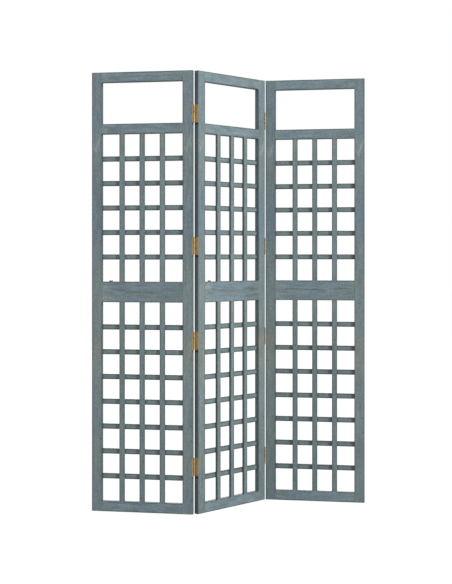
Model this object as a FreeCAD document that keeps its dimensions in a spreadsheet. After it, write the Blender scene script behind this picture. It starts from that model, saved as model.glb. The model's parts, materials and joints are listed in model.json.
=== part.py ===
import FreeCAD, Part
import math
import os
import re
import Sketcher

# Three-panel folding trellis screen. +Z is up, the front faces -Y, and the outer panels run along X.
# The origin is on the floor under the centre of the middle panel. All sizes are in mm and degrees.

# knuckles in one hinge: the odd ones belong to the middle panel's leaf
knuckle_count = 5
# the three screws of a leaf, in steps from its middle
screw_steps = (-1, 0, 1)
# angle of the screw heads' cone: they flare by as much as they are deep
countersink_angle = 90

sizes = {
    # one panel, outside
    "panel_width": 400.0,
    "panel_height": 1700.0,
    "panel_thickness": 19.0,
    # frame members
    "stile_width": 40.0,
    "top_rail_height": 40.0,
    "window_height": 160.0,
    "upper_rail_height": 40.0,
    "upper_field_height": 570.0,
    "middle_rail_height": 80.0,
    "bottom_rail_height": 40.0,
    "frame_edge_radius": 1.0,
    # lattice bars: the uprights fill the front of the thickness, the crossbars the rest
    "upright_width": 20.0,
    "upright_thickness": 9.5,
    "upright_count": 3,
    "crossbar_height": 20.0,
    "upper_crossbar_count": 5,
    "lower_crossbar_count": 7,
    "bar_edge_radius": 0.8,
    # rail tenons in the stiles, and stub tenons on the bars
    "tenon_length": 22.0,
    "tenon_thickness": 7.0,
    "tenon_shoulder": 6.0,
    "stub_length": 8.0,
    "stub_thickness": 4.5,
    "stub_breadth": 14.0,
    "joint_clearance": 0.1,
    # folds
    "fold_angle": 59.4,
    "fold_gap": 3.0,
    "pin_offset": 0.5,
    # hinge heights: two measured down from the top, two up from the floor
    "top_hinge_drop": 164.0,
    "upper_hinge_drop": 672.0,
    "lower_hinge_rise": 664.0,
    "bottom_hinge_rise": 180.0,
    # one butt hinge
    "hinge_height": 70.0,
    "leaf_setback": 0.3,
    "leaf_thickness": 1.4,
    "knuckle_diameter": 7.0,
    "knuckle_clearance": 0.3,
    "pin_diameter": 4.1,
    "pin_clearance": 0.05,
    "pin_chamfer": 0.3,
    "gain_clearance": 0.8,
    # hinge screws, three to a leaf
    "screw_diameter": 2.5,
    "screw_length": 12.0,
    "screw_point": 3.0,
    "screw_pitch": 23.0,
    "screw_line": 10.5,
    "screw_clearance": 0.05,
}

derived = {
    "half_width": "panel_width / 2",
    "half_thickness": "panel_thickness / 2",
    "half_clear": "half_width - stile_width",
    "clear_width": "2 * half_clear",
    # heights of the rail edges above the floor
    "top_rail_base": "panel_height - top_rail_height",
    "upper_rail_top": "top_rail_base - window_height",
    "upper_rail_base": "upper_rail_top - upper_rail_height",
    "middle_rail_top": "upper_rail_base - upper_field_height",
    "middle_rail_base": "middle_rail_top - middle_rail_height",
    "lower_field_height": "middle_rail_base - bottom_rail_height",
    # lattice spacing
    "upright_pitch": "clear_width / (upright_count + 1)",
    "first_upright": "upright_pitch - half_clear",
    "upper_pitch": "upper_field_height / (upper_crossbar_count + 1)",
    "lower_pitch": "lower_field_height / (lower_crossbar_count + 1)",
    "first_upper_bar": "middle_rail_top + upper_pitch",
    "first_lower_bar": "bottom_rail_height + lower_pitch",
    # depth of the lattice layers
    "lattice_seam": "upright_thickness - half_thickness",
    "upright_middle": "upright_thickness / 2 - half_thickness",
    "crossbar_middle": "(lattice_seam + half_thickness) / 2",
    "stub_half_breadth": "stub_breadth / 2",
    "stub_half_thickness": "stub_thickness / 2",
    # hinges
    "knuckle_radius": "knuckle_diameter / 2",
    "knuckle_length": "hinge_height / %d" % knuckle_count,
    "leaf_face": "knuckle_radius - leaf_thickness",
    "barrel_reach": "knuckle_radius + knuckle_clearance",
    "gain_depth": "knuckle_radius - fold_gap / 2",
    "barrel_depth": "barrel_reach - fold_gap / 2",
    "gain_half_height": "hinge_height / 2 + gain_clearance",
    "hinge_level_1": "panel_height - top_hinge_drop",
    "hinge_level_2": "panel_height - upper_hinge_drop",
    "hinge_level_3": "lower_hinge_rise",
    "hinge_level_4": "bottom_hinge_rise",
    "screw_radius": "screw_diameter / 2",
    "screw_head_radius": "screw_radius + leaf_thickness",
    "pilot_depth": "leaf_face + screw_length - fold_gap / 2 + joint_clearance",
    # places of the pins and of the outer panels
    "pin_along": "half_width + fold_gap / 2",
    "pin_across": "half_thickness + pin_offset",
    "leaf_reach": "pin_across + half_thickness - leaf_setback",
    "right_pin_x": "pin_along * cos(fold_angle) + pin_across * sin(fold_angle)",
    "right_pin_y": "pin_along * sin(fold_angle) - pin_across * cos(fold_angle)",
    "right_panel_x": "right_pin_x + pin_along",
    "right_panel_y": "right_pin_y + pin_across",
}

hinge_numbers = (1, 2, 3, 4)
rails = {
    "top_rail": ("top_rail_base", "panel_height"),
    "upper_rail": ("upper_rail_base", "upper_rail_top"),
    "middle_rail": ("middle_rail_base", "middle_rail_top"),
    "bottom_rail": ("0", "bottom_rail_height"),
}

doc = FreeCAD.newDocument("folding_trellis_screen")
sheet = doc.addObject("Spreadsheet::Sheet", "Sizes")
names = list(sizes) + list(derived)


def fill_sheet():
    for row, name in enumerate(names, 1):
        value = str(sizes[name]) if name in sizes else "=" + derived[name]
        sheet.set("A%d" % row, name)
        sheet.set("B%d" % row, value)
        sheet.setAlias("B%d" % row, name)
    doc.recompute()


def cell(text):
    # every word that names a size is read from the sheet
    return re.sub(r"[a-z]\w*", lambda word: "Sizes." + word[0] if word[0] in names else word[0], text)


def bind(thing, place, text):
    thing.setExpression(place, cell(text))


def origin_part(body, role):
    return next(part for part in body.Origin.OriginFeatures if part.Role == role)


def new_body(label):
    return doc.addObject("PartDesign::Body", label)


def copy_of(master, label):
    # a body of its own that starts from the master's finished shape
    body = new_body(label)
    body.BaseFeature = master
    return body


def place_in_panel(body, panel):
    if panel == "middle":
        bind(body, "Placement.Rotation.Angle", "fold_angle")
    if panel == "left":
        bind(body, "Placement.Base.x", "-right_panel_x")
        bind(body, "Placement.Base.y", "-right_panel_y")
    if panel == "right":
        bind(body, "Placement.Base.x", "right_panel_x")
        bind(body, "Placement.Base.y", "right_panel_y")


def new_sketch(body, name, plane, height="0"):
    sketch = body.newObject("Sketcher::SketchObject", body.Name + "_" + name)
    sketch.AttachmentSupport = [(origin_part(body, plane), "")]
    sketch.MapMode = "FlatFace"
    bind(sketch, "AttachmentOffset.Base.z", height)
    return sketch


def dimension(sketch, name, kind, *where):
    constraint = Sketcher.Constraint(kind, *where[:-1])
    constraint.Name = name
    sketch.addConstraint(constraint)
    bind(sketch, "Constraints." + name, where[-1])


def rectangle(sketch, tag, left, low, right, high):
    first = sketch.GeometryCount
    corners = [FreeCAD.Vector(x, y, 0) for x, y in ((0, 0), (1, 0), (1, 1), (0, 1))]
    for side in range(4):
        sketch.addGeometry(Part.LineSegment(corners[side], corners[(side + 1) % 4]), False)
    for side in range(4):
        sketch.addConstraint(Sketcher.Constraint("Coincident", first + side, 2, first + (side + 1) % 4, 1))
        kind = "Vertical" if side % 2 else "Horizontal"
        sketch.addConstraint(Sketcher.Constraint(kind, first + side))
    dimension(sketch, tag + "_left", "DistanceX", -1, 1, first, 1, 0.0, left)
    dimension(sketch, tag + "_low", "DistanceY", -1, 1, first, 1, 0.0, low)
    dimension(sketch, tag + "_right", "DistanceX", -1, 1, first + 2, 1, 1.0, right)
    dimension(sketch, tag + "_high", "DistanceY", -1, 1, first + 2, 1, 1.0, high)


def outline(sketch, points):
    # drawn as a rough zigzag, which the dimensions then pull into shape
    corners = [FreeCAD.Vector(-index, index % 2, 0) for index in range(len(points))]
    for start, end in zip(corners, corners[1:] + corners[:1]):
        sketch.addGeometry(Part.LineSegment(start, end), False)
    for index, (across, up) in enumerate(points):
        sketch.addConstraint(Sketcher.Constraint("Coincident", index, 2, (index + 1) % len(points), 1))
        dimension(sketch, "across_%d" % index, "DistanceX", -1, 1, index, 1, 0.0, across)
        dimension(sketch, "up_%d" % index, "DistanceY", -1, 1, index, 1, 0.0, up)


def circle(sketch, tag, across, up, radius):
    index = sketch.addGeometry(Part.Circle(FreeCAD.Vector(0, 0, 0), FreeCAD.Vector(0, 0, 1), 1), False)
    dimension(sketch, tag + "_across", "DistanceX", -1, 1, index, 3, 0.0, across)
    dimension(sketch, tag + "_up", "DistanceY", -1, 1, index, 3, 0.0, up)
    dimension(sketch, tag + "_radius", "Radius", index, 1.0, radius)


def pad(body, sketch, length, both_ways=False, backwards=False):
    feature = body.newObject("PartDesign::Pad", sketch.Name + "_pad")
    feature.Profile = sketch
    bind(feature, "Length", length)
    feature.SideType = "Symmetric" if both_ways else "One side"
    feature.Reversed = backwards
    return feature


def pocket(body, sketch, depth, backwards=False):
    feature = body.newObject("PartDesign::Pocket", sketch.Name + "_pocket")
    feature.Profile = sketch
    bind(feature, "Length", depth)
    feature.Reversed = backwards
    return feature


def pocket_through(body, sketch):
    feature = body.newObject("PartDesign::Pocket", sketch.Name + "_pocket")
    feature.Profile = sketch
    feature.SideType = "Symmetric"
    feature.Type = "ThroughAll"
    return feature


def round_long_edges(body, feature, direction, radius):
    doc.recompute()
    edges = []
    for number, edge in enumerate(feature.Shape.Edges, 1):
        if edge.Curve.Direction.isParallel(direction, Part.Precision.angular()):
            edges.append("Edge%d" % number)
    rounding = body.newObject("PartDesign::Fillet", body.Name + "_eased_edges")
    rounding.Base = (feature, edges)
    bind(rounding, "Radius", radius)


def repeat(body, feature, axis, length, count, whole=False):
    pattern = body.newObject("PartDesign::LinearPattern", feature.Name + "_row")
    if whole:
        pattern.TransformMode = "Whole shape"
    else:
        pattern.Originals = [feature]
    pattern.Direction = (origin_part(body, axis), [""])
    bind(pattern, "Length", length)
    bind(pattern, "Occurrences", count)
    body.Tip = pattern


def stub_opening(sketch, tag, across, up, half_across, half_up):
    rectangle(sketch, tag,
              across + " - " + half_across + " - joint_clearance",
              up + " - " + half_up + " - joint_clearance",
              across + " + " + half_across + " + joint_clearance",
              up + " + " + half_up + " + joint_clearance")


def cut_hinge_seats(body, side, face):
    # side is the sign of X at the stile's outer edge, face the sign of Y on the side of the barrels
    inward = side < 0
    outer_edge = "%d * half_width" % side
    # the leaf's gain runs right through the thickness, and the barrel's seat is cut deeper into it
    outside = "%d * (pin_across + barrel_reach)" % face
    for name, edge, depth in (("gain", "-pin_across - barrel_reach", "gain_depth"),
                              ("barrel_seat", "pin_across - barrel_reach", "barrel_depth")):
        inside = "%d * (%s)" % (face, edge)
        sketch = new_sketch(body, name, "YZ_Plane", outer_edge)
        for number in hinge_numbers:
            level = "hinge_level_%d" % number
            ends = (outside, inside) if face < 0 else (inside, outside)
            rectangle(sketch, "seat_%d" % number,
                      ends[0], level + " - gain_half_height", ends[1], level + " + gain_half_height")
        pocket(body, sketch, depth, inward)
    sketch = new_sketch(body, "pilots", "YZ_Plane", outer_edge)
    for number in hinge_numbers:
        for step in screw_steps:
            circle(sketch, "pilot_%d_%d" % (number, step + 2), "%d * (pin_across - screw_line)" % face,
                   "hinge_level_%d + %d * screw_pitch" % (number, step), "screw_radius + screw_clearance")
    pocket(body, sketch, "pilot_depth", inward)


def make_stile(hand, side):
    body = new_body("master_" + hand + "_stile")
    edges = ("half_clear", "half_width") if side > 0 else ("-half_width", "-half_clear")
    section = new_sketch(body, "section", "XY_Plane")
    rectangle(section, "stile", edges[0], "-half_thickness", edges[1], "half_thickness")
    column = pad(body, section, "panel_height")
    round_long_edges(body, column, FreeCAD.Vector(0, 0, 1), "frame_edge_radius")
    inner_edge = "%d * half_clear" % side
    outward = side > 0
    mortises = new_sketch(body, "mortises", "YZ_Plane", inner_edge)
    for name, (low, high) in rails.items():
        rectangle(mortises, name,
                  "-tenon_thickness / 2 - joint_clearance", low + " + tenon_shoulder - joint_clearance",
                  "tenon_thickness / 2 + joint_clearance", high + " - tenon_shoulder + joint_clearance")
    pocket(body, mortises, "tenon_length + joint_clearance", outward)
    for field in ("upper", "lower"):
        opening = new_sketch(body, field + "_stubs", "YZ_Plane", inner_edge)
        stub_opening(opening, "stub", "crossbar_middle", "first_%s_bar" % field,
                     "stub_half_thickness", "stub_half_breadth")
        cut = pocket(body, opening, "stub_length + joint_clearance", outward)
        count = field + "_crossbar_count"
        repeat(body, cut, "Z_Axis", "%s_pitch * (%s - 1)" % (field, count), count)
    return body


def make_rail(name, low, high):
    body = new_body("master_" + name)
    section = new_sketch(body, "section", "YZ_Plane")
    rectangle(section, "rail", "-half_thickness", low, "half_thickness", high)
    beam = pad(body, section, "clear_width", both_ways=True)
    round_long_edges(body, beam, FreeCAD.Vector(1, 0, 0), "frame_edge_radius")
    tenons = new_sketch(body, "tenons", "YZ_Plane")
    rectangle(tenons, "tenon", "-tenon_thickness / 2", low + " + tenon_shoulder",
              "tenon_thickness / 2", high + " - tenon_shoulder")
    pad(body, tenons, "clear_width + 2 * tenon_length", both_ways=True)
    mortised_edges = {"upper_rail": (low,), "middle_rail": (low, high), "bottom_rail": (high,)}
    for edge in mortised_edges.get(name, ()):
        from_below = edge == low
        opening = new_sketch(body, "stubs_below" if from_below else "stubs_above", "XY_Plane", edge)
        stub_opening(opening, "stub", "first_upright", "upright_middle",
                     "stub_half_breadth", "stub_half_thickness")
        cut = pocket(body, opening, "stub_length + joint_clearance", from_below)
        repeat(body, cut, "X_Axis", "upright_pitch * (upright_count - 1)", "upright_count")
    return body


def make_uprights(field, low):
    body = new_body("master_" + field + "_uprights")
    height = field + "_field_height"
    section = new_sketch(body, "section", "XY_Plane", low)
    rectangle(section, "bar", "first_upright - upright_width / 2", "-half_thickness",
              "first_upright + upright_width / 2", "lattice_seam")
    bar = pad(body, section, height)
    round_long_edges(body, bar, FreeCAD.Vector(0, 0, 1), "bar_edge_radius")
    stubs = new_sketch(body, "stubs", "XY_Plane", low + " - stub_length")
    rectangle(stubs, "stub", "first_upright - stub_half_breadth", "upright_middle - stub_half_thickness",
              "first_upright + stub_half_breadth", "upright_middle + stub_half_thickness")
    last = pad(body, stubs, height + " + 2 * stub_length")
    repeat(body, last, "X_Axis", "upright_pitch * (upright_count - 1)", "upright_count", whole=True)
    return body


def make_crossbars(field):
    body = new_body("master_" + field + "_crossbars")
    level = "first_%s_bar" % field
    section = new_sketch(body, "section", "YZ_Plane")
    rectangle(section, "bar", "lattice_seam", level + " - crossbar_height / 2",
              "half_thickness", level + " + crossbar_height / 2")
    bar = pad(body, section, "clear_width", both_ways=True)
    round_long_edges(body, bar, FreeCAD.Vector(1, 0, 0), "bar_edge_radius")
    stubs = new_sketch(body, "stubs", "YZ_Plane")
    rectangle(stubs, "stub", "crossbar_middle - stub_half_thickness", level + " - stub_half_breadth",
              "crossbar_middle + stub_half_thickness", level + " + stub_half_breadth")
    last = pad(body, stubs, "clear_width + 2 * stub_length", both_ways=True)
    count = field + "_crossbar_count"
    repeat(body, last, "Z_Axis", "%s_pitch * (%s - 1)" % (field, count), count, whole=True)
    return body


def leaf_profile(sketch):
    # a flat plate whose near edge is rolled into the eye round the pin
    radius, face, reach = (sheet.get(name) for name in ("knuckle_radius", "leaf_face", "leaf_reach"))
    meeting = math.acos(face / radius)
    corners = [FreeCAD.Vector(x, y, 0) for x, y in
               ((-radius, 0), (-radius, reach), (-face, reach), (-face, radius * math.sin(meeting)))]
    for start, end in zip(corners, corners[1:]):
        sketch.addGeometry(Part.LineSegment(start, end), False)
    eye = Part.Circle(FreeCAD.Vector(0, 0, 0), FreeCAD.Vector(0, 0, 1), radius)
    sketch.addGeometry(Part.ArcOfCircle(eye, math.pi, 3 * math.pi - meeting), False)
    sketch.addConstraint(Sketcher.Constraint("Coincident", 3, 3, -1, 1))
    for line in (0, 1):
        sketch.addConstraint(Sketcher.Constraint("Coincident", line, 2, line + 1, 1))
    sketch.addConstraint(Sketcher.Constraint("Coincident", 2, 2, 3, 2))
    sketch.addConstraint(Sketcher.Constraint("Tangent", 0, 1, 3, 1))
    for line, kind in ((0, "Vertical"), (1, "Horizontal"), (2, "Vertical")):
        sketch.addConstraint(Sketcher.Constraint(kind, line))
    dimension(sketch, "eye_radius", "Radius", 3, radius, "knuckle_radius")
    dimension(sketch, "plate_reach", "DistanceY", -1, 1, 1, 1, reach, "leaf_reach")
    dimension(sketch, "plate_face", "DistanceX", -1, 1, 1, 2, -face, "-leaf_face")


def make_leaf(label, first_slot, slots):
    # the slots clear the other leaf's knuckles; the first one's middle is counted from the hinge's middle
    body = new_body(label)
    profile = new_sketch(body, "profile", "XY_Plane")
    leaf_profile(profile)
    pad(body, profile, "hinge_height", both_ways=True)
    bore = new_sketch(body, "bore", "XY_Plane")
    circle(bore, "bore", "0", "0", "pin_diameter / 2 + pin_clearance")
    pocket_through(body, bore)
    gap = new_sketch(body, "slot", "YZ_Plane")
    middle = "%d * knuckle_length" % first_slot
    half = "(knuckle_length / 2 + knuckle_clearance / 2)"
    rectangle(gap, "slot", "-barrel_reach", middle + " - " + half, "barrel_reach", middle + " + " + half)
    cut = pocket_through(body, gap)
    repeat(body, cut, "Z_Axis", "2 * knuckle_length * %d" % (slots - 1), "%d" % slots)
    holes = new_sketch(body, "screw_holes", "YZ_Plane", "-leaf_face")
    for step in screw_steps:
        circle(holes, "hole_%d" % (step + 2), "screw_line", "%d * screw_pitch" % step,
               "screw_radius + screw_clearance")
    doc.recompute()
    countersink = body.newObject("PartDesign::Hole", body.Name + "_countersinks")
    countersink.Profile = holes
    countersink.DepthType = "ThroughAll"
    bind(countersink, "Diameter", "screw_diameter + 2 * screw_clearance")
    countersink.HoleCutType = "Countersink"
    countersink.HoleCutCustomValues = True
    bind(countersink, "HoleCutDiameter", "2 * (screw_head_radius + screw_clearance)")
    countersink.HoleCutCountersinkAngle = countersink_angle
    return body


def make_pin(label):
    body = new_body(label)
    section = new_sketch(body, "section", "XY_Plane")
    circle(section, "pin", "0", "0", "pin_diameter / 2")
    rod = pad(body, section, "hinge_height", both_ways=True)
    doc.recompute()
    ends = ["Edge%d" % number for number, edge in enumerate(rod.Shape.Edges, 1) if edge.isClosed()]
    chamfer = body.newObject("PartDesign::Chamfer", body.Name + "_eased_ends")
    chamfer.Base = (rod, ends)
    bind(chamfer, "Size", "pin_chamfer")
    return body


def place_on_pin(body, fold, number, axis, turn):
    sign = "-" if fold == "left" else ""
    body.Placement = FreeCAD.Placement(FreeCAD.Vector(), FreeCAD.Rotation(axis, 1))
    bind(body, "Placement.Rotation.Angle", turn)
    bind(body, "Placement.Base.x", sign + "right_pin_x")
    bind(body, "Placement.Base.y", sign + "right_pin_y")
    bind(body, "Placement.Base.z", "hinge_level_%d" % number)


def make_leaf_screws(label):
    # one countersunk screw, turned round its own axis, and its row along the leaf
    body = new_body(label)
    profile = new_sketch(body, "profile", "XY_Plane", "-screw_pitch")
    bind(profile, "AttachmentOffset.Base.y", "screw_line")
    tip = "-leaf_face - screw_length"
    points = (("-leaf_face", "0"), ("-leaf_face", "screw_head_radius"),
              ("-leaf_face - leaf_thickness", "screw_radius"),
              (tip + " + screw_point", "screw_radius"), (tip, "0"))
    outline(profile, points)
    turned = body.newObject("PartDesign::Revolution", body.Name + "_turned")
    turned.Profile = profile
    turned.ReferenceAxis = (profile, ["H_Axis"])
    turned.Angle = 360
    count = len(screw_steps)
    repeat(body, turned, "Z_Axis", "%d * screw_pitch" % (count - 1), "%d" % count, whole=True)
    return body


def build_panels():
    masters = {"left_stile": make_stile("left", -1), "right_stile": make_stile("right", 1)}
    for name, (low, high) in rails.items():
        masters[name] = make_rail(name, low, high)
    for field, low in (("upper", "middle_rail_top"), ("lower", "bottom_rail_height")):
        masters[field + "_uprights"] = make_uprights(field, low)
        masters[field + "_crossbars"] = make_crossbars(field)
    doc.recompute()
    pieces = {}
    for panel in ("left", "middle", "right"):
        for name, master in masters.items():
            label = panel + "_panel_" + name
            pieces[label] = copy_of(master, label)
            place_in_panel(pieces[label], panel)
    return pieces


def build_hinges(pieces):
    half = knuckle_count // 2
    outer_master = make_leaf("master_outer_leaf", -half, half + 1)
    middle_master = make_leaf("master_middle_leaf", 1 - half, half)
    pin_master = make_pin("master_pin")
    screw_master = make_leaf_screws("master_leaf_screws")
    doc.recompute()
    upright_axis = FreeCAD.Vector(0, 0, 1)
    folds = {
        "left": ((FreeCAD.Vector(1, 0, 0), "180"), (upright_axis, "180 + fold_angle")),
        "right": ((FreeCAD.Vector(0, 1, 0), "180"), (upright_axis, "fold_angle")),
    }
    for fold, (outer_turn, middle_turn) in folds.items():
        screws = {fold: [], "middle": []}
        for number in hinge_numbers:
            stem = "%s_fold_hinge_%d_" % (fold, number)
            for name, master, turn in (("outer_leaf", outer_master, outer_turn),
                                       ("middle_leaf", middle_master, middle_turn),
                                       ("pin", pin_master, middle_turn)):
                pieces[stem + name] = copy_of(master, stem + name)
                place_on_pin(pieces[stem + name], fold, number, *turn)
            for panel, turn in ((fold, outer_turn), ("middle", middle_turn)):
                row = copy_of(screw_master, stem + panel + "_screws")
                place_on_pin(row, fold, number, *turn)
                screws[panel].append(row)
        for panel, rows in screws.items():
            label = "%s_fold_%s_screws" % (fold, panel)
            pieces[label] = doc.addObject("Part::Compound", label)
            pieces[label].Links = rows
    # the left fold's barrels are on the back, the right fold's on the front
    cut_hinge_seats(pieces["left_panel_right_stile"], 1, 1)
    cut_hinge_seats(pieces["middle_panel_left_stile"], -1, 1)
    cut_hinge_seats(pieces["middle_panel_right_stile"], 1, -1)
    cut_hinge_seats(pieces["right_panel_left_stile"], -1, -1)
    doc.recompute()


def write(pieces):
    for thing in doc.Objects:
        if "Invalid" in thing.State or "Error" in thing.State:
            raise RuntimeError("not built: " + thing.Label)
    os.makedirs("parts", exist_ok=True)
    for piece in pieces.values():
        if piece.Shape.isNull() or not piece.Shape.isValid():
            raise RuntimeError("no valid shape: " + piece.Label)
        piece.Shape.exportStep("parts/" + piece.Label + ".step")


fill_sheet()
screen = build_panels()
build_hinges(screen)
write(screen)
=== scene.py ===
import json
import math
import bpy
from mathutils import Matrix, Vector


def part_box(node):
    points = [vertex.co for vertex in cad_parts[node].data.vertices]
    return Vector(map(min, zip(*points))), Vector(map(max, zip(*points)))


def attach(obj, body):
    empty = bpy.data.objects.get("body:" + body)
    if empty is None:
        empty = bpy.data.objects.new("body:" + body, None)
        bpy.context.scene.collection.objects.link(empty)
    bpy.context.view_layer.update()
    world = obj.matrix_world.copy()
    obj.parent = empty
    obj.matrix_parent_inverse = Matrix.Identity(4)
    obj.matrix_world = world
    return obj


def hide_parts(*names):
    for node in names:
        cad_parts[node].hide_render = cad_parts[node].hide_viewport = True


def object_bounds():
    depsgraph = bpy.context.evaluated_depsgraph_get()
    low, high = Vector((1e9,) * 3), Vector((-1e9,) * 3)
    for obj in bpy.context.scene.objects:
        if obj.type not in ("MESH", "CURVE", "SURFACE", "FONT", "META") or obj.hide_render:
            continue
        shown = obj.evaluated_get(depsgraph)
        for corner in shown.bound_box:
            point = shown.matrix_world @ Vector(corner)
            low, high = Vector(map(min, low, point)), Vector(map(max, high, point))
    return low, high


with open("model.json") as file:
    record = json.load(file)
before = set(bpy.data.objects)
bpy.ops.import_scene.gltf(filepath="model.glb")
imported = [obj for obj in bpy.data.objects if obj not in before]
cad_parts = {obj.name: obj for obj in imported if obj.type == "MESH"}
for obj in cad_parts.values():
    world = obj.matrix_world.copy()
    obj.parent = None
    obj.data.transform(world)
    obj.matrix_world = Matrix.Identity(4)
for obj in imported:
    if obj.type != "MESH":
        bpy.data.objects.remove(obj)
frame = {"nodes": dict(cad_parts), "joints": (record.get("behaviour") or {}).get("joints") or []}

from types import SimpleNamespace

import bmesh
import bpy
from mathutils import Matrix, Vector, noise

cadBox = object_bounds()
mm = 0.001
print("frame:", len(frame["nodes"]), "CAD nodes")

# Panels: each has its own square axes, x along the panel, y into its thickness and z up
foldAngle = math.radians(-frame["joints"][0]["range_deg"][0])   # straight to the photographed fold


def panelPlace(panel):
    corners = [Vector(c) for rail in ("top", "bottom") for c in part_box(panel + "_panel_" + rail + "_rail")]
    middle = sum(corners, Vector()) / len(corners)
    turn = foldAngle if panel == "middle" else 0.0
    return Matrix.Translation((middle.x, middle.y, 0.0)) @ Matrix.Rotation(turn, 4, "Z")


panels = {panel: panelPlace(panel) for panel in ("left", "middle", "right")}


def panelBox(panel, node):   # a node's lowest and highest corner in its panel's own axes
    back = panels[panel].inverted()
    spots = [back @ v.co for v in frame["nodes"][node].data.vertices]
    low = Vector(min(s[i] for s in spots) for i in range(3))
    high = Vector(max(s[i] for s in spots) for i in range(3))
    return low, high


# Sizes that the finish follows, in mm in a panel's own axes
lattice = {"barWidth": 20.0, "uprights": 3, "upper": 5, "lower": 7}   # mm, and the bars in each field
barHalf = lattice["barWidth"] / 2
sides = ("left", "right")
rails = ("top", "upper", "middle", "bottom")
fields = ("upper", "lower")


def sizesOfPanel():
    def span(part, axis):
        low, high = panelBox("left", "left_panel_" + part)
        return low[axis] / mm, high[axis] / mm

    def pitch(low, high, count):   # from one bar's middle to the next
        return (high - low - lattice["barWidth"]) / (count - 1)

    acrossAxis, depthAxis, heightAxis = range(3)
    crossbars = {}
    for field in fields:
        low, high = span(field + "_crossbars", heightAxis)
        crossbars[field] = (low + barHalf, pitch(low, high, lattice[field]))
    layers = ("left_stile", "upper_uprights", "upper_crossbars")
    return {
        "rails": {rail: span(rail + "_rail", heightAxis) for rail in rails},
        "stiles": {side: span(side + "_stile", acrossAxis) for side in sides},
        "uprightPitch": pitch(*span("upper_uprights", acrossAxis), lattice["uprights"]),
        "crossbars": crossbars,   # the lowest one's middle, and the pitch
        "depths": {part: span(part, depthAxis) for part in layers},
    }


sizes = sizesOfPanel()
stileHalf = (sizes["stiles"]["left"][1] - sizes["stiles"]["left"][0]) / 2
hingeBoxes = [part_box(node) for node in sorted(frame["nodes"])
              if node.startswith("left_fold_hinge") and node.endswith("outer_leaf")]


# Shader sums: a node socket that takes part in Python arithmetic
class Shade:
    def __init__(self, tree, socket=None):
        self.tree = tree
        self.socket = socket

    def add(self, kind, settings=None, sockets=None, out=0):
        node = self.tree.nodes.new(kind)
        for name, value in (settings or {}).items():
            setattr(node, name, value)
        for name, value in (sockets or {}).items():
            if isinstance(value, Shade):
                self.tree.links.new(value.socket, node.inputs[name])
            else:
                node.inputs[name].default_value = value
        return Shade(self.tree, node.outputs[out])

    def math(self, operation, *values):
        return self.add("ShaderNodeMath", {"operation": operation}, dict(enumerate(values)))

    def __add__(self, other):
        return self.math("ADD", self, other)

    def __radd__(self, other):
        return self.math("ADD", other, self)

    def __sub__(self, other):
        return self.math("SUBTRACT", self, other)

    def __rsub__(self, other):
        return self.math("SUBTRACT", other, self)

    def __mul__(self, other):
        return self.math("MULTIPLY", self, other)

    def __rmul__(self, other):
        return self.math("MULTIPLY", other, self)

    def __truediv__(self, other):
        return self.math("DIVIDE", self, other)

    def __rtruediv__(self, other):
        return self.math("DIVIDE", other, self)

    def __pow__(self, other):
        return self.math("POWER", self, other)

    def __rpow__(self, other):
        return self.math("POWER", other, self)

    def size(self):
        return self.math("ABSOLUTE", self)

    def nearest(self):
        return self.math("ROUND", self)

    def fraction(self):
        return self.math("FRACT", self)

    def most(self, other):
        return self.math("MAXIMUM", self, other)

    def least(self, other):
        return self.math("MINIMUM", self, other)

    def ramp(self, low, high, start, end):   # start below low, end above high, smooth between
        limits = {"Value": self, "From Min": low, "From Max": high, "To Min": start, "To Max": end}
        return self.add("ShaderNodeMapRange", {"interpolation_type": "SMOOTHSTEP"}, limits)

    def rise(self, low, high):
        return self.ramp(low, high, 0.0, 1.0)

    def fall(self, low, high):
        return self.ramp(low, high, 1.0, 0.0)

    def swing(self, depth):   # a value about 0.5 as a factor about 1
        return 1.0 + (self - 0.5) * depth * 2.0

    def vector(self, x, y, z):
        return self.add("ShaderNodeCombineXYZ", None, {"X": x, "Y": y, "Z": z})

    def parts(self):
        node = self.add("ShaderNodeSeparateXYZ", None, {"Vector": self}).socket.node
        return [Shade(self.tree, socket) for socket in node.outputs]

    def noise(self, detail=2.0, rough=0.5):   # a vector's smooth noise, about 0.5
        grains = {"Vector": self, "Scale": 1.0, "Detail": detail, "Roughness": rough}
        return self.add("ShaderNodeTexNoise", {"noise_dimensions": "3D"}, grains)

    def chance(self):   # one fixed draw from 0 to 1 for each value
        return self.add("ShaderNodeTexWhiteNoise", {"noise_dimensions": "1D"}, {"W": self})

    def mixed(self, first, second, share, blend="MIX"):   # by number, as a Mix node's sockets share names
        settings = {"data_type": "RGBA", "blend_type": blend}
        return self.add("ShaderNodeMix", settings, {0: share, 6: first, 7: second}, out=2)

    def dimmed(self, share):   # a colour times a value
        return self.mixed(self, share, 1.0, "MULTIPLY")

    def bump(self, distance, strength=1.0):   # a height as a normal
        heights = {"Strength": strength, "Distance": distance, "Height": self}
        return self.add("ShaderNodeBump", None, heights, out="Normal")


def tint(red, green, blue):   # a screen colour, 0 to 255, as a linear one, by the sRGB curve
    def linear(value):
        value = value / 255
        return value / 12.92 if value <= 0.04045 else ((value + 0.055) / 1.055) ** 2.4

    return (linear(red), linear(green), linear(blue), 1.0)


def newMaterial(name, constants):   # constants are the same all over the surface
    material = bpy.data.materials.new(name)
    material.use_nodes = True
    surface = material.node_tree.nodes["Principled BSDF"]
    for socket, value in constants.items():
        surface.inputs[socket].default_value = value
    return material, Shade(material.node_tree)


def dress(sums, sockets):   # links what changes over the surface to its shader
    surface = sums.tree.nodes["Principled BSDF"]
    for name, value in sockets.items():
        sums.tree.links.new(value.socket, surface.inputs[name])


def objectSpot(sums, scale, **turned):   # Object coordinates times a scale, turned and moved if asked
    spot = sums.add("ShaderNodeTexCoord", out="Object")
    return sums.add("ShaderNodeMapping", None, {"Vector": spot, "Scale": (scale,) * 3, **turned})


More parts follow.
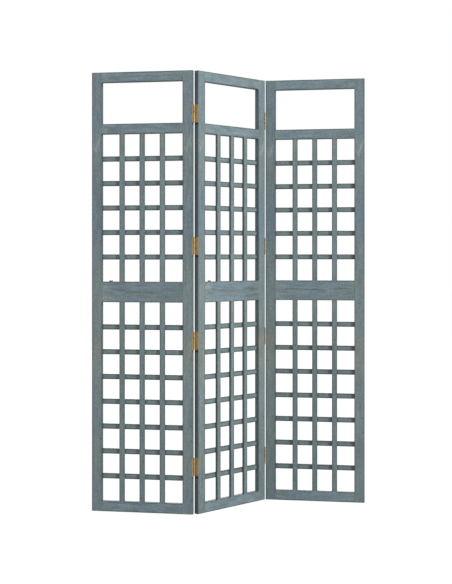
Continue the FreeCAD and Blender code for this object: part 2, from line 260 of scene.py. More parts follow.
# The timber: its growth rings, fibres and pores, with lengths in mm
timber = {
    "seedStep": 1.37,         # between the draws of two pieces
    "otherSeed": 31.7,        # to a piece's second draw
    "runSpread": 3000.0,      # pieces are cut from a log this long
    "cellSpread": 50.0,       # noise cells that a draw picks from
    "pithSpread": 30.0,       # of the pith's place across, from piece to piece
    "pithWander": 34.0,       # and along one piece
    "wanderLength": 260.0,
    "wanderDetail": 1.0,      # slower than the other noises
    "pithDepth": 18.0,        # behind the panel's middle, and up to the spread more
    "pithDepthSpread": 30.0,
    "pithSway": 10.0,
    "swayLength": 95.0,
    "ringSpacing": 4.2,
    "ringRagged": 1.6,
    "ringDrift": 3.0,         # rings that a season's noise shifts by
    "seasonWidth": 12.0,
    "seasonLength": 400.0,
    "lateRise": (0.25, 0.8),  # share of a ring over which its late wood sets in
    "lateFall": (0.86, 1.0),
    "lateSeason": (0.25, 0.7),
    "poreCut": (0.56, 0.7),   # only the noise's peaks are pores
    # length along the fibres, width, shift, detail and roughness of each noise
    "noises": {"ragged": (30.0, 3.0, 0.0, 2.0, 0.5), "fibre": (42.0, 1.1, 0.0, 4.0, 0.6),
               "pores": (11.0, 0.42, 0.0, 2.0, 0.5), "mottle": (10.0, 5.0, 3.0, 3.0, 0.65),
               "tone": (60.0, 12.0, 0.0, 4.0, 0.6), "patch": (220.0, 45.0, 7.0, 2.0, 0.5),
               "streak": (160.0, 9.0, 19.0, 2.0, 0.5)},
}
# The middle rail was sawn further from the pith, and its grain sags between its ends
bowedRail = {"pith": 70.0, "wander": 12.0, "lowest": 30.0, "halfLength": 160.0, "sag": 11.0, "ringShare": 1.7}


def woodPiece(part):   # which way a piece's grain runs, its middle, half width, pitch and depth
    name = part.split("_")[0]
    piece = {"up": part.endswith(("stile", "uprights")), "pitch": 0.0, "half": barHalf}
    if part.endswith(("stile", "rail")):
        low, high = sizes["stiles"][name] if piece["up"] else sizes["rails"][name]
        piece.update(middle=(low + high) / 2, half=(high - low) / 2, depth=sizes["depths"]["left_stile"])
    elif piece["up"]:
        piece.update(middle=0.0, pitch=sizes["uprightPitch"], depth=sizes["depths"]["upper_uprights"])
    else:
        first, pitch = sizes["crossbars"][name]
        piece.update(middle=first, pitch=pitch, depth=sizes["depths"]["upper_crossbars"])
    return piece


def placeInWood(sums, panel, piece, seed):   # a point's place in its panel and in its own piece of timber
    place = panels[panel].inverted()
    local = objectSpot(sums, 1 / mm, Rotation=place.to_euler(), Location=place.translation / mm)
    x, depth, z = local.parts()
    along, side = (z, x) if piece["up"] else (x, z)
    cross = side - piece["middle"]
    bar = seed * timber["seedStep"]
    if piece["pitch"]:   # each bar of a group is its own piece of timber
        count = (cross / piece["pitch"]).nearest()
        cross = cross - count * piece["pitch"]
        bar = count + bar
    else:
        bar = sums.math("ADD", bar, 0.0)   # a number as a socket
    luck = bar.chance()
    otherLuck = (bar + timber["otherSeed"]).chance()
    return SimpleNamespace(x=x, z=z, along=along, cross=cross, depth=depth, bar=bar, luck=luck,
                           otherLuck=otherLuck, run=along + luck * timber["runSpread"])


def woodNoise(sums, at, name):   # one of the timber's noises, stretched along the fibres
    length, width, shift, detail, rough = timber["noises"][name]
    spot = sums.vector(at.run / length, at.cross / width, at.depth / width + shift)
    return spot.noise(detail, rough)


def growthRings(sums, part, at):   # late wood and ragged edges, about a pith that wanders along the piece
    spread = timber["cellSpread"]
    wander = sums.vector(at.run / timber["wanderLength"], at.otherLuck * spread, at.bar)
    wander = wander.noise(timber["wanderDetail"]) - 0.5
    sway = sums.vector(at.run / timber["swayLength"], at.bar, at.luck * spread).noise() - 0.5
    if part == "middle_rail":
        sag = ((at.along - bowedRail["lowest"]) / bowedRail["halfLength"]) ** 2.0 * bowedRail["sag"]
        pithCross = bowedRail["pith"] + wander * bowedRail["wander"] + sag
        spacing = timber["ringSpacing"] * bowedRail["ringShare"]
    else:
        pithCross = (at.otherLuck - 0.5) * timber["pithSpread"] + wander * timber["pithWander"]
        spacing = timber["ringSpacing"]
    pithDepth = timber["pithDepth"] + at.luck * timber["pithDepthSpread"] + sway * timber["pithSway"]
    fromPith = ((at.cross - pithCross) ** 2.0 + (at.depth - pithDepth) ** 2.0) ** 0.5
    ragged = woodNoise(sums, at, "ragged") - 0.5
    season = sums.vector(fromPith / timber["seasonWidth"], at.bar, at.run / timber["seasonLength"]).noise()
    ring = ((fromPith + ragged * timber["ringRagged"]) / spacing + season * timber["ringDrift"]).fraction()
    late = ring.rise(*timber["lateRise"]) * ring.fall(*timber["lateFall"])
    return late * season.rise(*timber["lateSeason"]), ragged


# The stain: its tints and darker places, and the painted shade on arrises, sides, undersides, corners and
# lower parts
stainAndShade = {
    "blue": tint(116, 135, 146),
    "green": tint(122, 135, 133),
    "brown": tint(134, 133, 125),
    "pale": tint(153, 168, 168),
    "dark": tint(86, 95, 92),
    "knot": tint(68, 68, 64),
    "olive": tint(119, 131, 123),
    "tan": tint(133, 131, 121),
    "straw": tint(130, 136, 117),
    # painted shadow tints: in the corners under two rails, and below the hinges
    "wet": tint(40, 48, 48),
    "hingeShadow": tint(62, 51, 33),
    "greenShare": {"stile": 0.68, "rail": 0.36, "uprights": 0.62, "crossbars": 0.68},
    "patchWarmth": 0.9,
    "streakWarmth": 0.7,
    "brownFrom": 0.9,         # of the warmth
    "lightness": 1.035,
    # painted light: the same stain a little lighter or darker on each panel, as the light falls on it
    "panelLight": {"left": 1.02, "middle": 0.965, "right": 1.0},
    "kindLight": {"stile": 0.97, "rail": 1.01, "uprights": 1.015, "crossbars": 0.98},
    "luckDepth": 0.04,        # from piece to piece
    "ringDepth": 0.18,
    "fibreDepth": 0.26,
    "poreDepth": 0.3,         # of short dark pores along the fibres
    "mottleDepth": 0.55,
    "toneDepth": {"stile": 0.22, "rail": 0.45, "uprights": 0.22, "crossbars": 0.25},
    "edgeWidth": 6.0,         # mm of painted shade along each arris
    "edgeShadeDepth": {"stile": 0.55, "rail": 0.55, "uprights": 0.55, "crossbars": 0.68},
    "edgeRagged": 0.25,
    # painted shade: more of the edge shade on the left arris of stiles and uprights, or on the right one if
    # less than 0, as the key light falls on each panel
    "edgeShadeLean": {"left": 0.35, "middle": -0.45, "right": 0.35},
    "seam": 1.0,              # mm over which a joint free of the painted edge shade fades in, and one half of a piece meets the other
    "crossedShare": 0.9,      # how much of the painted edge shade an upright's arris loses where a crossbar passes
    "skin": (0.2, 0.8),       # mm over which a sawn side's painted shade, and a stile end's darker stain, set in
    # painted shade on each kind's sawn sides
    "sideDepth": {"stile": 0.1, "rail": 0.25, "uprights": 0.15, "crossbars": 0.2},
    "innerShadeDepth": {"left_stile": 0.38, "right_stile": 0.0},   # more painted shade on a stile's inner side
    "backShadeDepth": 0.6,        # painted shade on a stile's outer side, along its back arris, next to the neighbouring panel
    "backShadeWidth": 7.0,        # mm
    "endDepth": 0.25,         # of the end grain, which drinks more stain
    "endRings": 0.4,
    "footShadeDepth": {"stile": 0.0, "rail": 0.0, "uprights": 0.12, "crossbars": 0.1},   # painted shade towards the ground
    "footHeight": 1200.0,     # mm
    "undersideShadeDepth": 0.18,        # painted shade on the lower arris and underside of rails and crossbars
    "cornerShadeDepth": 0.42,      # painted shade in the corner where one bar lies on another
    "cornerWidth": 6.0,       # mm along a bar
    "cornerReach": (0.5, 3.0),   # mm into its thickness
    "strokeCore": 0.3,        # of a stroke's reach, at full strength
    "roughness": 0.62,
    "fibreRough": 0.25,
    "edgePolish": 0.08,
    "bumpHeight": 0.12 * mm,
    "fibreBump": 0.7,
    "lateBump": 0.5,
    "poreBump": 0.6,
    "specular": 0.2,
}
# Where the stain took differently: mm along the piece, reach in mm, warmth and lightness
patches = {
    "stile": ((40, 150, -0.2, -0.07), (200, 210, 0.1, -0.04), (545, 75, 0.2, 0.08),
              (630, 90, 0.6, 0.03), (800, 130, 0.1, 0.03), (1150, 180, -0.5, -0.06),
              (1425, 55, 0.0, 0.08), (1510, 60, -0.5, -0.03), (1625, 110, -0.33, 0.01)),
    "rail": ((-150, 44, 0.38, 0.11), (155, 75, 0.28, -0.04)),
    "uprights": ((795, 45, 0.45, 0.06), (1443, 50, 0.45, 0.08)),
    "crossbars": (),
}
# Knots and streaks: mm along and across, half length, half width, slope across, tint and strength
stileStrokes = ((1420, 4.5, 38, 3.0, 0.24, "pale", 0.8), (1401, -7.0, 16, 3.2, -0.35, "pale", 0.85),
                (338, 10.5, 6.5, 3.0, 0.0, "knot", 0.8), (281, 14.0, 5.0, 2.6, 0.0, "knot", 0.8))
bowedStrokes = ((-88, 7.5, 64, 3.6, -0.13, "dark", 0.65), (-2, -0.5, 66, 3.6, -0.05, "dark", 0.75),
                (0, -7.0, 90, 7.5, -0.03, "olive", 0.85), (70, -2.5, 30, 3.0, 0.02, "olive", 0.5),
                (115, -19.0, 66, 6.0, 0.03, "dark", 0.42), (105, 5.0, 75, 8.0, 0.0, "dark", 0.4),
                (-132, -4.0, 34, 4.0, -0.04, "dark", 0.35), (-140, 20.0, 32, 6.0, 0.0, "pale", 0.28),
                (-138, -22.0, 36, 7.0, 0.0, "pale", 0.28))
# the middle panel's rail also gets a broad painted shade at its right end, in the corner with the right panel
shadedStrokes = bowedStrokes + ((138, 0.0, 102, 50, 0.0, "dark", 0.3),)
knottyStrokes = ((-105, 3.0, 42, 4.2, 0.0, "tan", 0.75), (-95, -2.0, 24, 1.8, 0.0, "pale", 0.35),
                 (-88, 5.5, 52, 3.4, 0.0, "dark", 0.6), (110, -0.3, 48, 2.6, 0.0, "straw", 0.85),
                 (108, 9.5, 60, 4.4, 0.0, "dark", 0.55), (-6, 3.0, 68, 4.4, -0.02, "dark", 0.6),
                 (30, -4.0, 28, 3.0, 0.0, "dark", 0.45))
railStrokes = {"left": bowedStrokes, "middle": shadedStrokes, "right": knottyStrokes}
# Painted shadows below things on a stile's edge, in mm: in the corners under two rails, and under the hinges
wetRun = {"drop": 9.0, "past": 0.5, "halfLength": 11, "halfWidth": 1.6, "tint": "wet", "strength": 0.9}
hingeShadowRun = {"drop": 4.0, "past": 0.0, "halfLength": 8.0, "halfWidth": 2.5, "tint": "hingeShadow",
              "strength": 0.85}


def shadowsBelow(levels, run, way):   # painted shadow strokes under each level, on the left edge (-1) or the right one (1)
    edge = way * (stileHalf + run["past"])
    slope = 0.0
    return tuple((level - run["drop"], edge, run["halfLength"], run["halfWidth"], slope,
                  run["tint"], run["strength"]) for level in levels)


def strokesOn(panel, part):   # a piece's knots and streaks, and the painted shadows below rails and hinges
    if part == "middle_rail":
        return railStrokes[panel]
    if not part.endswith("stile"):
        return ()
    strokes = stileStrokes
    if part == "left_stile":
        strokes += shadowsBelow([sizes["rails"][rail][0] for rail in ("middle", "top")], wetRun, 1)
    if not part.startswith(panel):   # the screen's outermost stiles have no hinges
        way = -1 if part == "left_stile" else 1
        strokes += shadowsBelow([low.z / mm for low, high in hingeBoxes], hingeShadowRun, way)
    return strokes


def stroke(at, ragged, place, side, halfLength, halfWidth, slope):   # 1 on a knot or streak, 0 off it
    far = (at.along - place) / halfLength
    off = (at.cross - side - (at.along - place) * slope + ragged * halfWidth) / halfWidth
    return ((far ** 2.0 + off ** 2.0) ** 0.5).fall(stainAndShade["strokeCore"], 1.0)


def patched(along, kind):   # the warmth and the lightness of a piece's patches at a place along it
    warmth, light = 0.0, 0.0
    for place, reach, warmer, lighter in patches[kind]:
        near = (along - place).size().fall(0.0, reach)
        warmth = warmth + near * warmer
        light = light + near * lighter
    return warmth, light


def fromBars(value, first, pitch, count):   # distance from the nearest bar's middle in a row of bars
    number = ((value - first) / pitch).nearest().most(0.0).least(count - 1)
    return (value - first - number * pitch).size()


def fromUprights(x):
    return fromBars(x, -sizes["uprightPitch"], sizes["uprightPitch"], lattice["uprights"])


def fromCrossbars(z, field):
    return fromBars(z, *sizes["crossbars"][field], lattice[field])


def firstHalf(value):   # 1 below 0, 0 above it
    return value.fall(-stainAndShade["seam"], stainAndShade["seam"])


def secondHalf(value):
    return value.rise(-stainAndShade["seam"], stainAndShade["seam"])


def innerHalf(part, at):   # 1 on the half of a stile that faces its panel's middle
    return secondHalf(at.cross) if part == "left_stile" else firstHalf(at.cross)


def joinedEdge(part, at):   # 1 where a piece's edge runs into another and the painted edge shade is left off
    name = part.split("_")[0]
    seam = stainAndShade["seam"]
    if part.endswith("stile"):
        joined = 0.0
        for low, high in sizes["rails"].values():
            half = (high - low) / 2
            joined = joined + (at.z - (low + high) / 2).size().fall(half - seam, half + seam)
        return joined * innerHalf(part, at)
    if part.endswith("rail") and name != "top":   # uprights end in the other three
        meets = fromUprights(at.x).fall(barHalf - seam, barHalf + seam) * firstHalf(at.depth)
        edge = {"upper": firstHalf, "bottom": secondHalf}.get(name)
        return meets * edge(at.cross) if edge else meets
    if part.endswith("uprights"):
        crossed = fromCrossbars(at.z, name).fall(barHalf - seam, barHalf + 2 * seam)
        return crossed * stainAndShade["crossedShare"]
    return 0.0


def paintedEdgeShade(panel, part, piece, at, fibre):   # 1 along the arrises: the painted shade of their rounding
    shallow, deep = piece["depth"]
    fromFace = (deep - shallow) / 2 - (at.depth - (shallow + deep) / 2).size()
    fromArris = (piece["half"] - at.cross.size()).most(fromFace)
    edgeShade = fromArris.fall(0.0, stainAndShade["edgeWidth"]) * (1.0 - joinedEdge(part, at))
    edgeShade = edgeShade * fibre.swing(stainAndShade["edgeRagged"])
    if piece["up"]:
        edgeShade = edgeShade * (1.0 - at.cross * (stainAndShade["edgeShadeLean"][panel] / piece["half"]))
    return edgeShade


def shadedSides(part, kind, piece, at):   # how much painted shade a piece's sawn sides get
    sideShade = (piece["half"] - at.cross.size()).fall(*stainAndShade["skin"])
    depth = stainAndShade["sideDepth"][kind]
    if kind == "stile":
        inner = innerHalf(part, at)
        backShade = (piece["depth"][1] - at.depth).fall(0.0, stainAndShade["backShadeWidth"]) * stainAndShade["backShadeDepth"]
        depth = depth + inner * stainAndShade["innerShadeDepth"][part] + (1.0 - inner) * backShade
    return sideShade * depth


def endGrain(at, late):   # how much darker a stile's ends are
    halfHeight = sizes["rails"]["top"][1] / 2
    thin, thick = stainAndShade["skin"]
    end = (at.z - halfHeight).size().rise(halfHeight - thick, halfHeight - thin)
    return end * (late * stainAndShade["endRings"] + stainAndShade["endDepth"])


def shadedCorners(part, piece, at):   # 1 in the corners between crossing bars, where the painted shade lies
    shallow, deep = piece["depth"]
    if part.endswith("crossbars"):
        beside = (fromUprights(at.x) - barHalf).least(sizes["stiles"]["right"][0] - at.x.size())
        below = at.depth - shallow
    else:
        beside = fromCrossbars(at.z, part.split("_")[0]) - barHalf
        below = deep - at.depth
    return beside.fall(0.0, stainAndShade["cornerWidth"]) * below.fall(*stainAndShade["cornerReach"])


def woodMaterial(panel, part, seed):
    kind = part.split("_")[1]
    piece = woodPiece(part)
    material, sums = newMaterial(panel + "-" + part, {"Specular IOR Level": stainAndShade["specular"]})
    at = placeInWood(sums, panel, piece, seed)
    late, ragged = growthRings(sums, part, at)
    noiseNames = ("fibre", "pores", "mottle", "tone", "patch", "streak")
    fibre, pores, mottle, tone, patch, streak = [woodNoise(sums, at, name) for name in noiseNames]
    pores = pores.rise(*timber["poreCut"])

    # tints
    patchWarmth, patchLight = patched(at.along, kind)
    warmth = (patch - 0.5) * stainAndShade["patchWarmth"] + (streak - 0.5) * stainAndShade["streakWarmth"]
    warmth = warmth + stainAndShade["greenShare"][kind] + patchWarmth
    colour = sums.mixed(stainAndShade["blue"], stainAndShade["green"], warmth)
    colour = sums.mixed(colour, stainAndShade["brown"], (warmth - stainAndShade["brownFrom"]).most(0.0))
    for *shape, tintName, strength in strokesOn(panel, part):
        colour = sums.mixed(colour, stainAndShade[tintName], stroke(at, ragged, *shape) * strength)

    # light and dark of the timber
    shade = stainAndShade["lightness"] - late * stainAndShade["ringDepth"] + patchLight
    shade = shade * (1.0 - pores * stainAndShade["poreDepth"])
    shade = shade * fibre.swing(stainAndShade["fibreDepth"]) * mottle.swing(stainAndShade["mottleDepth"])
    shade = shade * tone.swing(stainAndShade["toneDepth"][kind]) * at.luck.swing(stainAndShade["luckDepth"])
    shade = shade * (stainAndShade["panelLight"][panel] * stainAndShade["kindLight"][kind])

    # painted shade along the arrises, on the sawn sides, towards the ground, on lower arrises and undersides
    # and in the corners where bars cross; a stile's end grain takes the stain darker
    edgeShade = paintedEdgeShade(panel, part, piece, at, fibre)
    shade = shade * (1.0 - edgeShade * stainAndShade["edgeShadeDepth"][kind]) * (1.0 - shadedSides(part, kind, piece, at))
    shade = shade * (1.0 - at.z.fall(0.0, stainAndShade["footHeight"]) * stainAndShade["footShadeDepth"][kind])
    if kind == "stile":
        shade = shade * (1.0 - endGrain(at, late))
    if not piece["up"]:
        undersideShade = (piece["half"] + at.cross).fall(0.0, stainAndShade["edgeWidth"])
        shade = shade * (1.0 - undersideShade * stainAndShade["undersideShadeDepth"])
    if piece["pitch"]:
        shade = shade * (1.0 - shadedCorners(part, piece, at) * stainAndShade["cornerShadeDepth"])

    height = (fibre - 0.5) * stainAndShade["fibreBump"] - late * stainAndShade["lateBump"] - pores * stainAndShade["poreBump"]
    roughness = stainAndShade["roughness"] + (fibre - 0.5) * stainAndShade["fibreRough"] - edgeShade * stainAndShade["edgePolish"]
    dress(sums, {"Base Color": colour.dimmed(shade), "Roughness": roughness,
                 "Normal": height.bump(stainAndShade["bumpHeight"])})
    return material


def finishWood():
    parts = [side + "_stile" for side in sides] + [rail + "_rail" for rail in rails]
    parts += [field + "_" + bars for field in fields for bars in ("uprights", "crossbars")]
    seedsPerPanel = 17
    for panelNumber, panel in enumerate(panels):
        for partNumber, part in enumerate(parts):
            node = frame["nodes"][panel + "_panel_" + part]
            seed = panelNumber * seedsPerPanel + partNumber
            node.material_slots[0].material = woodMaterial(panel, part, seed)
    print("wood:", len(panels) * len(parts), "nodes stained")


# Brass of the hinges and screws
brass = {
    "bright": tint(186, 168, 130),
    "dull": tint(156, 134, 97),
    "leafWear": 0.8,
    "screwWear": 0.15,
    "roughness": 0.59,
    "dullRough": 0.2,
    "brushRough": 0.2,
    "brush": (0.25, 9.0),     # mm across and along the brush marks
    "brushHeight": 0.02 * mm,
    "brushStrength": 0.6,
    "cloud": (5.0, 11.0),     # mm across and along the dull clouds
    "cloudBrushed": 0.3,      # how far the brush marks break up a cloud
    "dullCut": (0.42, 0.7),
    "detail": (3.0, 0.6),     # of both noises, and their roughness
}


def brassMaterial(name, wear):
    material, sums = newMaterial(name, {"Metallic": 1.0})
    x, y, z = objectSpot(sums, 1 / mm).parts()
    brushed, cloud = [sums.vector(x / width, y / width, z / length).noise(*brass["detail"])
                      for width, length in (brass["brush"], brass["cloud"])]
    dull = (cloud + (brushed - 0.5) * brass["cloudBrushed"]).rise(*brass["dullCut"]) * wear
    roughness = brass["roughness"] + dull * brass["dullRough"] + (brushed - 0.5) * brass["brushRough"]
    dress(sums, {"Base Color": sums.mixed(brass["bright"], brass["dull"], dull), "Roughness": roughness,
                 "Normal": brushed.bump(brass["brushHeight"], brass["brushStrength"])})
    return material


def finishHinges():
    leafBrass = brassMaterial("hinge-brass", brass["leafWear"])
    hinges = [node for name, node in frame["nodes"].items() if "_hinge_" in name]
    for node in hinges:
        node.material_slots[0].material = leafBrass
    print("hinges:", len(hinges), "nodes in brass")


def newPiece(name, body, shape, material, crease=35):   # an edge that turns by more degrees stays sharp
    mesh = bpy.data.meshes.new(name)
    bmesh.ops.recalc_face_normals(shape, faces=shape.faces)
    shape.to_mesh(mesh)
    shape.free()
    mesh.shade_smooth()
    mesh.set_sharp_from_angle(angle=math.radians(crease))
    mesh.materials.append(material)
    piece = bpy.data.objects.new(name, mesh)
    bpy.context.scene.collection.objects.link(piece)
    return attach(piece, body)


# Screws: countersunk, with a cross recess and a thread, in mm until they are placed
screw = {
    "sunk": 0.22,             # that a head lies below the leaf, with its countersink's rim round it
    "shank": 2.5,             # across the thread
    "root": 1.9,              # across its root
    "plain": 3.4,             # from the head to the first turn
    "runout": 0.4,            # over which the plain shank narrows to the root
    "point": 3.0,
    "tip": 0.02,              # of the root's radius, before it is closed
    "turns": 6,
    "threadWidth": 0.5,       # of the thread's pitch, at its root
    "threadSeat": 0.95,       # of the root's radius, so that the thread starts inside it
    "sides": 16,
    "recessWidth": 0.75,
    "recessReach": 1.45,      # from the axis to a wing's end
    "recessDepth": 1.1,
    "recessTaper": 0.55,
    "holes": (-1, 0, 1),      # in a leaf, in pitches from its middle
    "turnByHinge": 1.1,       # radians: no two recesses stopped at one angle
    "turnByHole": 0.7,
}


def recessedHead(shape, radius):
    bmesh.ops.create_circle(shape, cap_ends=True, segments=screw["sides"], radius=radius)
    half, reach = screw["recessWidth"] / 2, screw["recessReach"]
    for axis in (Vector((1, 0, 0)), Vector((0, 1, 0))):
        for place in (-reach, -half, half, reach):
            everything = shape.verts[:] + shape.edges[:] + shape.faces[:]
            bmesh.ops.bisect_plane(shape, geom=everything, plane_co=axis * place, plane_no=axis)
    wings = []
    for face in shape.faces:
        near, far = sorted(abs(v) for v in face.calc_center_median()[:2])
        if near < half and far < reach:
            wings.append(face)
    sunk = bmesh.ops.extrude_face_region(shape, geom=wings)["geom"]
    bmesh.ops.delete(shape, geom=[face for face in wings if face.is_valid], context="FACES_ONLY")
    floor = [v for v in sunk if isinstance(v, bmesh.types.BMVert)]
    bmesh.ops.translate(shape, vec=(0, 0, -screw["recessDepth"]), verts=floor)
    bmesh.ops.scale(shape, vec=(screw["recessTaper"], screw["recessTaper"], 1), verts=floor)


def turnedShank(shape, headRadius, length):
    rim = [edge for edge in shape.edges if edge.is_boundary]
    shank, root = screw["shank"] / 2, screw["root"] / 2
    neck = headRadius - shank   # the head's sides slope at 45 degrees
    radius, depth = headRadius, 0.0
    for newRadius, newDepth in ((shank, neck), (shank, screw["plain"] - screw["runout"]),
                                (root, screw["plain"]), (root, length - screw["point"]),
                                (root * screw["tip"], length)):
        ring = bmesh.ops.extrude_edge_only(shape, edges=rim)["geom"]
        verts = [v for v in ring if isinstance(v, bmesh.types.BMVert)]
        share = newRadius / radius
        bmesh.ops.scale(shape, vec=(share, share, 1), verts=verts)
        bmesh.ops.translate(shape, vec=(0, 0, depth - newDepth), verts=verts)
        rim = [edge for edge in ring if isinstance(edge, bmesh.types.BMEdge)]
        radius, depth = newRadius, newDepth
    bmesh.ops.pointmerge(shape, verts=verts, merge_co=(0, 0, -length))


def cutThread(shape, length):
    shank, root = screw["shank"] / 2, screw["root"] / 2
    width, inside = screw["threadWidth"], root * screw["threadSeat"]
    rise = (length - screw["point"] - screw["plain"]) / (screw["turns"] + width)
    corners = [shape.verts.new((across, 0, -screw["plain"] - down * rise))
               for across, down in ((inside, 0.0), (shank, width / 2), (inside, width))]
    flank = shape.faces.new(corners)
    steps = screw["turns"] * screw["sides"]
    bmesh.ops.spin(shape, geom=[flank] + list(flank.edges) + corners, axis=(0, 0, 1), cent=(0, 0, 0),
                   dvec=(0, 0, -rise / screw["sides"]), angle=math.tau * screw["turns"], steps=steps)
    openEnds = [edge for edge in shape.edges if edge.is_boundary]
    bmesh.ops.holes_fill(shape, edges=openEnds, sides=len(corners))


def screwPattern(headRadius, length):   # one screw, with its head's face at the origin and its point down
    one = bmesh.new()
    recessedHead(one, headRadius)
    turnedShank(one, headRadius, length)
    cutThread(one, length)
    pattern = bpy.data.meshes.new("screw")
    one.to_mesh(pattern)
    one.free()
    return pattern


def fitScrews():
    metal = brassMaterial("screw-brass", brass["screwWear"])
    levels = sorted((low.z + high.z) / 2 for low, high in hingeBoxes)
    leaves = (("left", "left"), ("left", "middle"), ("right", "middle"), ("right", "right"))
    for fold, panel in leaves:
        node = fold + "_fold_" + panel + "_screws"
        low, high = panelBox(panel, node)
        bore = (high.y - low.y) / 2
        pitch = levels[0] - bore - low.z
        outward = math.copysign(1.0, low.x + high.x)
        headFace = (high.x if outward > 0 else low.x) - outward * screw["sunk"] * mm
        pattern = screwPattern(bore / mm - screw["sunk"], (high.x - low.x) / mm - screw["sunk"])
        lie = Matrix.Rotation(outward * math.pi / 2, 4, "Y")
        shape = bmesh.new()
        for number, level in enumerate(levels):
            for hole in screw["holes"]:
                first = len(shape.verts)
                shape.from_mesh(pattern)
                place = Matrix.Translation((headFace, (low.y + high.y) / 2, level + hole * pitch))
                turn = Matrix.Rotation(number * screw["turnByHinge"] + hole * screw["turnByHole"], 4, "Z")
                bmesh.ops.transform(shape, matrix=panels[panel] @ place @ lie @ turn @ Matrix.Scale(mm, 4),
                                    verts=shape.verts[:][first:])
        bpy.data.meshes.remove(pattern)
        piece = newPiece(fold + "_fold_" + panel + "_brass_screws", panel + "_panel", shape, metal)
        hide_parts(node)
    print("screws:", len(leaves), "rows threaded")


# Brads: they hold each crossbar to the uprights, from behind
brad = {
    "radius": 1.1 * mm,
    "crown": 0.7 * mm,        # radius of the flat on the head
    "rise": 0.25 * mm,        # proud of the wood
    "sunk": 0.5 * mm,
    "sides": 10,
    "bright": tint(168, 168, 164),
    "dull": tint(112, 106, 98),
    "speckles": 900,          # to a metre
    "detail": (3.0, 0.6),     # of the speckles, and their roughness
    "dullCut": (0.4, 0.65),
    "roughness": 0.4,
    "dullRough": 0.25,
}


def bradMaterial():
    material, sums = newMaterial("brad-steel", {"Metallic": 1.0})
    dull = objectSpot(sums, brad["speckles"]).noise(*brad["detail"]).rise(*brad["dullCut"])
    dress(sums, {"Base Color": sums.mixed(brad["bright"], brad["dull"], dull),
                 "Roughness": brad["roughness"] + dull * brad["dullRough"]})
    return material


def driveBrads():
    metal = bradMaterial()
    back = sizes["depths"]["upper_crossbars"][1] * mm
    height = brad["rise"] + brad["sunk"]
    lie = Matrix.Rotation(-math.pi / 2, 4, "X")
    uprights = [(number - (lattice["uprights"] - 1) / 2) * sizes["uprightPitch"]
                for number in range(lattice["uprights"])]
    for panel in panels:
        shape = bmesh.new()
        for field in fields:
            first, pitch = sizes["crossbars"][field]
            for bar in range(lattice[field]):
                for upright in uprights:
                    spot = Vector((upright, 0.0, first + bar * pitch)) * mm
                    spot.y = back + brad["rise"] - height / 2
                    bmesh.ops.create_cone(shape, cap_ends=True, segments=brad["sides"],
                                          radius1=brad["radius"], radius2=brad["crown"], depth=height,
                                          matrix=panels[panel] @ Matrix.Translation(spot) @ lie)
        newPiece(panel + "_panel_brads", panel + "_panel", shape, metal)
    print("brads:", len(panels), "panels pinned")


# Burr: a knot that stands proud on the middle rail of two panels
burr = {
    "panels": ("left", "middle"),
    "along": -127.3 * mm,     # from the panel's middle
    "lumps": ((-2.4, 6.6, 5.2), (1.9, 6.8, 3.8), (6.0, 6.4, 4.6)),   # mm along, width and height of each
    "deep": 1.15,             # of the width, into the rail's thickness
    "gnarl": 0.18,            # of a lump's radius
    "gnarlScale": 1.6,        # dents to a radius
    "fineness": 3,            # times that a lump's faces are divided
    "smooth": 180,            # degrees: no edge of it is sharp
    "dark": tint(80, 74, 61),
    "light": tint(136, 124, 98),
    "speckles": 420,          # to a metre
    "detail": (4.0, 0.65),    # of the speckles, and their roughness
    "lightCut": (0.4, 0.7),
    "roughness": 0.7,
    "roughSwing": 0.3,
    "bumpHeight": 0.3 * mm,
    "specular": 0.2,
}


def burrMaterial():
    material, sums = newMaterial("burr-wood", {"Specular IOR Level": burr["specular"]})
    rough = objectSpot(sums, burr["speckles"]).noise(*burr["detail"])
    dress(sums, {"Base Color": sums.mixed(burr["dark"], burr["light"], rough.rise(*burr["lightCut"])),
                 "Roughness": burr["roughness"] + (rough - 0.5) * burr["roughSwing"],
                 "Normal": rough.bump(burr["bumpHeight"])})
    return material


def growBurrs():
    bark = burrMaterial()
    railTop = sizes["rails"]["middle"][1] * mm
    for panel in burr["panels"]:
        shape = bmesh.new()
        for shift, width, height in burr["lumps"]:
            middle = Vector((burr["along"] + shift * mm, 0.0, railTop))
            lump = bmesh.ops.create_icosphere(shape, subdivisions=burr["fineness"], radius=1.0)["verts"]
            for vert in lump:
                dent = noise.noise(vert.co * burr["gnarlScale"] + Vector((shift, 0, 0)))
                vert.co *= 1.0 + burr["gnarl"] * dent
            size = Matrix.Diagonal((width / 2 * mm, width / 2 * burr["deep"] * mm, height * mm, 1.0))
            bmesh.ops.transform(shape, matrix=panels[panel] @ Matrix.Translation(middle) @ size, verts=lump)
        newPiece(panel + "_panel_knot_burr", panel + "_panel", shape, bark, crease=burr["smooth"])
    print("burrs:", len(burr["panels"]))


finishWood()
finishHinges()
fitScrews()
driveBrads()
growBurrs()

# Studio: pale floor, white surround, a soft key from the right, a weaker lamp behind and an even fill
studio = {
    "ambient": 0.6,
    "surround": (1.0, 1.0, 1.0, 1.0),
    "keyPower": 1020.0,       # W
    "keySize": 2.2,           # m
    "keyDistance": 11.0,      # m from the screen's middle
    "keyAngle": math.radians(60.5),   # to the right of the outer panels' front
    "keyHeight": 5.5,         # m
    "backPower": 380.0,       # W, from behind the screen
    "backSize": 3.0,          # m
    "backPlace": (-2.5, 9.0, 4.5),   # m
    "floorSize": 60.0,        # m
    "floorTint": (0.45, 0.45, 0.45, 1.0),
    "floorGlow": 1.13,        # of the floor as the camera sees it
    "floorShare": 0.85,       # of that glow, and the rest shows the screen's shadow
}


def seenDirectly(sums):   # 1 for rays that show the surround itself
    node = sums.add("ShaderNodeLightPath").socket.node
    rays = ("Is Camera Ray", "Is Glossy Ray", "Is Transmission Ray")
    camera, glossy, through = [Shade(sums.tree, node.outputs[ray]) for ray in rays]
    return camera.most(glossy).most(through)


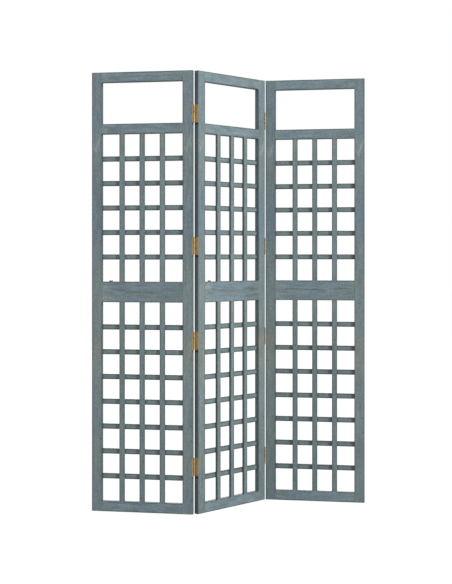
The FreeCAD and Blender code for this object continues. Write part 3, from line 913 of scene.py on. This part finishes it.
def addLamp(name, power, size, place):   # a soft square lamp aimed at the screen's middle
    light = bpy.data.lights.new(name, "AREA")
    light.energy = power
    light.size = size
    lamp = bpy.data.objects.new(name, light)
    lamp.location = place
    middle = (cadBox[0] + cadBox[1]) / 2
    lamp.rotation_euler = (middle - lamp.location).to_track_quat("-Z", "Y").to_euler()
    bpy.context.scene.collection.objects.link(lamp)


def makeSurround():
    world = bpy.data.worlds.new("studio")
    bpy.context.scene.world = world
    world.use_nodes = True
    strength = studio["ambient"] + seenDirectly(Shade(world.node_tree)) * (1.0 - studio["ambient"])
    surround = world.node_tree.nodes["Background"]
    surround.inputs["Color"].default_value = studio["surround"]
    world.node_tree.links.new(strength.socket, surround.inputs["Strength"])


def layFloor():
    shape = bmesh.new()
    bmesh.ops.create_grid(shape, x_segments=1, y_segments=1, size=studio["floorSize"] / 2)
    mesh = bpy.data.meshes.new("floor")
    shape.to_mesh(mesh)
    shape.free()
    floor = bpy.data.objects.new("floor", mesh)
    bpy.context.scene.collection.objects.link(floor)
    material = bpy.data.materials.new("floor")
    material.use_nodes = True
    sums = Shade(material.node_tree)
    pale = sums.add("ShaderNodeBsdfDiffuse", None, {"Color": studio["floorTint"]}, out="BSDF")
    white = sums.add("ShaderNodeEmission", None, {"Strength": studio["floorGlow"]}, out="Emission")
    shown = sums.add("ShaderNodeMixShader", None, {
        0: seenDirectly(sums) * studio["floorShare"], 1: pale, 2: white}, out="Shader")
    output = material.node_tree.nodes["Material Output"]
    material.node_tree.links.new(shown.socket, output.inputs["Surface"])
    mesh.materials.append(material)


def makeStudio():
    makeSurround()
    layFloor()
    keyPlace = (studio["keyDistance"] * math.sin(studio["keyAngle"]),
                -studio["keyDistance"] * math.cos(studio["keyAngle"]), studio["keyHeight"])
    addLamp("key", studio["keyPower"], studio["keySize"], keyPlace)
    addLamp("back", studio["backPower"], studio["backSize"], studio["backPlace"])
    bpy.context.scene.view_settings.view_transform = "Standard"
    print("studio ready")


# Camera: its place was found from the edges of the three frames in the photograph
camera = {
    "place": (0.9425, -5.0253, 0.9992),   # m
    "tilt": math.radians(90),             # level
    "turn": math.radians(10.83),          # to the left of straight ahead
    "lens": 79.80,                        # mm
    "sensor": 36.0,                       # mm, on the long side
    "shift": -0.0662,                     # of the long side
}


def makeCamera():
    data = bpy.data.cameras.new("camera")
    data.lens = camera["lens"]
    data.sensor_width = camera["sensor"]
    data.shift_y = camera["shift"]
    view = bpy.data.objects.new("camera", data)
    view.location = camera["place"]
    view.rotation_euler = (camera["tilt"], 0.0, camera["turn"])
    bpy.context.scene.collection.objects.link(view)
    bpy.context.scene.camera = view
    print("camera ready")


makeStudio()
makeCamera()
